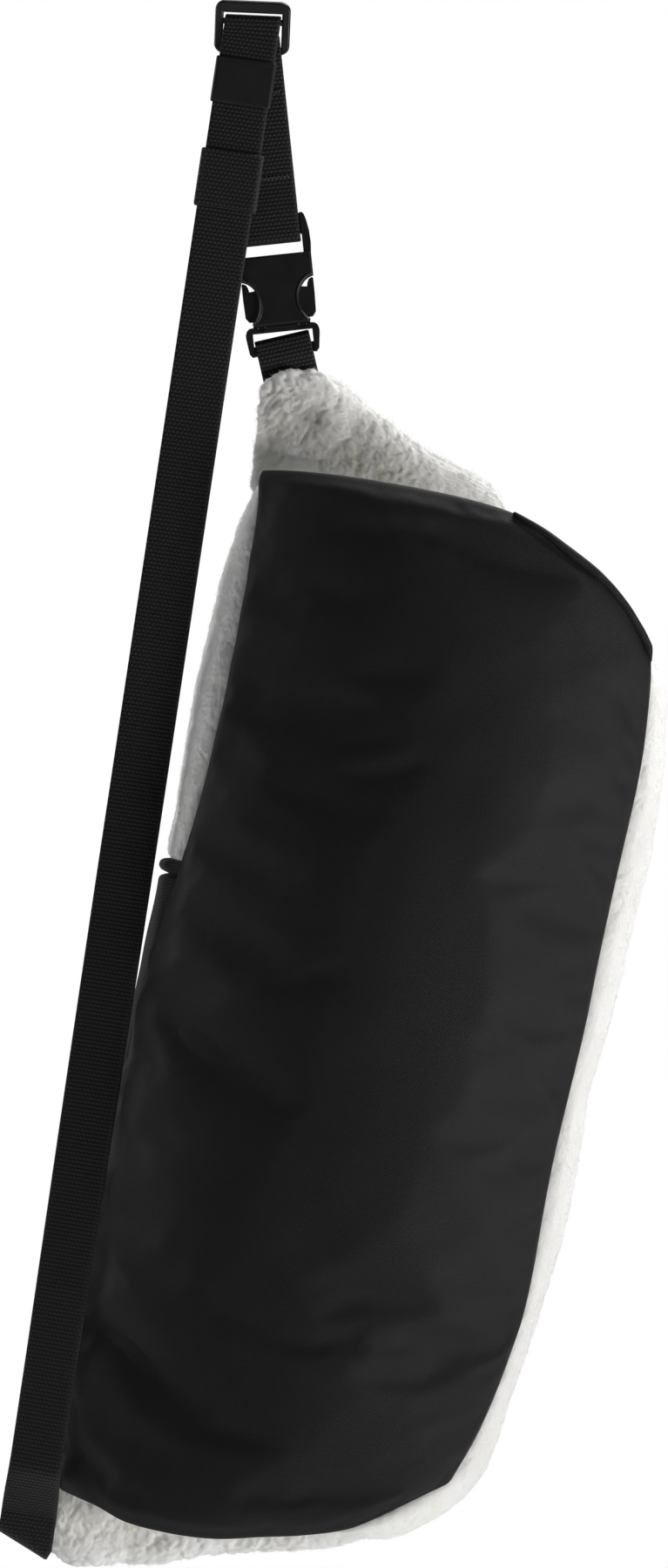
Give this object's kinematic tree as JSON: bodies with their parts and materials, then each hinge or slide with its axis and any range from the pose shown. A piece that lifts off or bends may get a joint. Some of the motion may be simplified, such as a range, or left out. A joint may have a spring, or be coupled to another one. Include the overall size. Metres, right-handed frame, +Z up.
{
  "type": "hand warmer muff",
  "caption": "Shearling-lined tubular hand muff with a webbing waist strap, side-release buckle, adjuster and keepers, hanging by its strap.",
  "frame": {"origin": "in the strap just below its slider, where the muff is hung up", "axes": "+Z up, along the hanging strap and muff; +X to the right of the front view; -Y out of the muff's front panel"},
  "size_m": [0.3051, 0.0891, 0.7014],
  "materials": {
    "shell_fabric": "plain-woven polyester, low sheen",
    "wadding": "lofted fibre sheet",
    "shearling": "synthetic shearling pile, matte",
    "ribbed_band": "ribbed elastic knit, matte",
    "hem_tape": "flat woven tape, matte",
    "piping": "cloth rolled over a cord, low sheen",
    "thread": "twisted polyester thread",
    "webbing": "ribbed polypropylene webbing, low sheen",
    "smooth_keeper": "flat matte elastomer",
    "buckle_plastic": "moulded acetal, fine satin",
    "slider_plastic": "moulded acetal, fine satin"
  },
  "bodies": {
    "muff": {"front_shell": "shell_fabric", "front_wadding": "wadding", "front_lining": "shearling", "back_shell": "shell_fabric", "back_wadding": "wadding", "back_lining": "shearling", "right_side_fleece": "shearling", "left_side_fleece": "shearling", "side_band": "ribbed_band", "side_band_hem": "hem_tape", "corner_piping": "piping", "anchor_stitches": "thread", "tab_web": "webbing", "male_base": "buckle_plastic", "buckle_strap": "webbing", "upper_bartack": "thread", "main_strap": "webbing"},
    "housing": {"female_housing": "buckle_plastic", "lower_bartack": "thread"},
    "left_prong": {"prong_left": "buckle_plastic"},
    "right_prong": {"prong_right": "buckle_plastic"},
    "slider": {"slider": "slider_plastic"},
    "smooth_keeper": {"smooth_keeper": "smooth_keeper"},
    "web_keeper": {"web_keeper": "webbing"}
  },
  "joints": [
    {"name": "buckle_release", "type": "slide", "parent": "muff", "child": "housing", "axis": [-0.1045, 0, 0.9945], "range_m": [0, 0.026], "deforming": ["buckle_strap", "prong_left", "prong_right"]},
    {"name": "prong_left_flex", "type": "hinge", "parent": "muff", "child": "left_prong", "pos_m": [0.00399, 0.0106, -0.12066], "axis": [0, 1, 0], "range_deg": [0, 8], "stiffness_Nm_per_rad": 0.4},
    {"name": "prong_right_flex", "type": "hinge", "parent": "muff", "child": "right_prong", "pos_m": [0.02229, 0.0106, -0.11874], "axis": [0, -1, 0], "range_deg": [0, 8], "stiffness_Nm_per_rad": 0.4},
    {"name": "slider_tilt", "type": "hinge", "parent": "muff", "child": "slider", "pos_m": [0.0001, 0, 0.016], "axis": [0.999, 0, -0.0436], "range_deg": [-8, 20], "deforming": ["buckle_strap"]},
    {"name": "smooth_keeper_slide", "type": "slide", "parent": "muff", "child": "smooth_keeper", "axis": [-0.1483, 0, -0.9889], "range_m": [0, 0.017]},
    {"name": "web_keeper_slide", "type": "slide", "parent": "muff", "child": "web_keeper", "axis": [-0.1483, 0, -0.9889], "range_m": [0, 0.2]}
  ],
  "couplings": [
    {"joint": "prong_right_flex", "follows": "prong_left_flex", "ratio": 1}
  ]
}
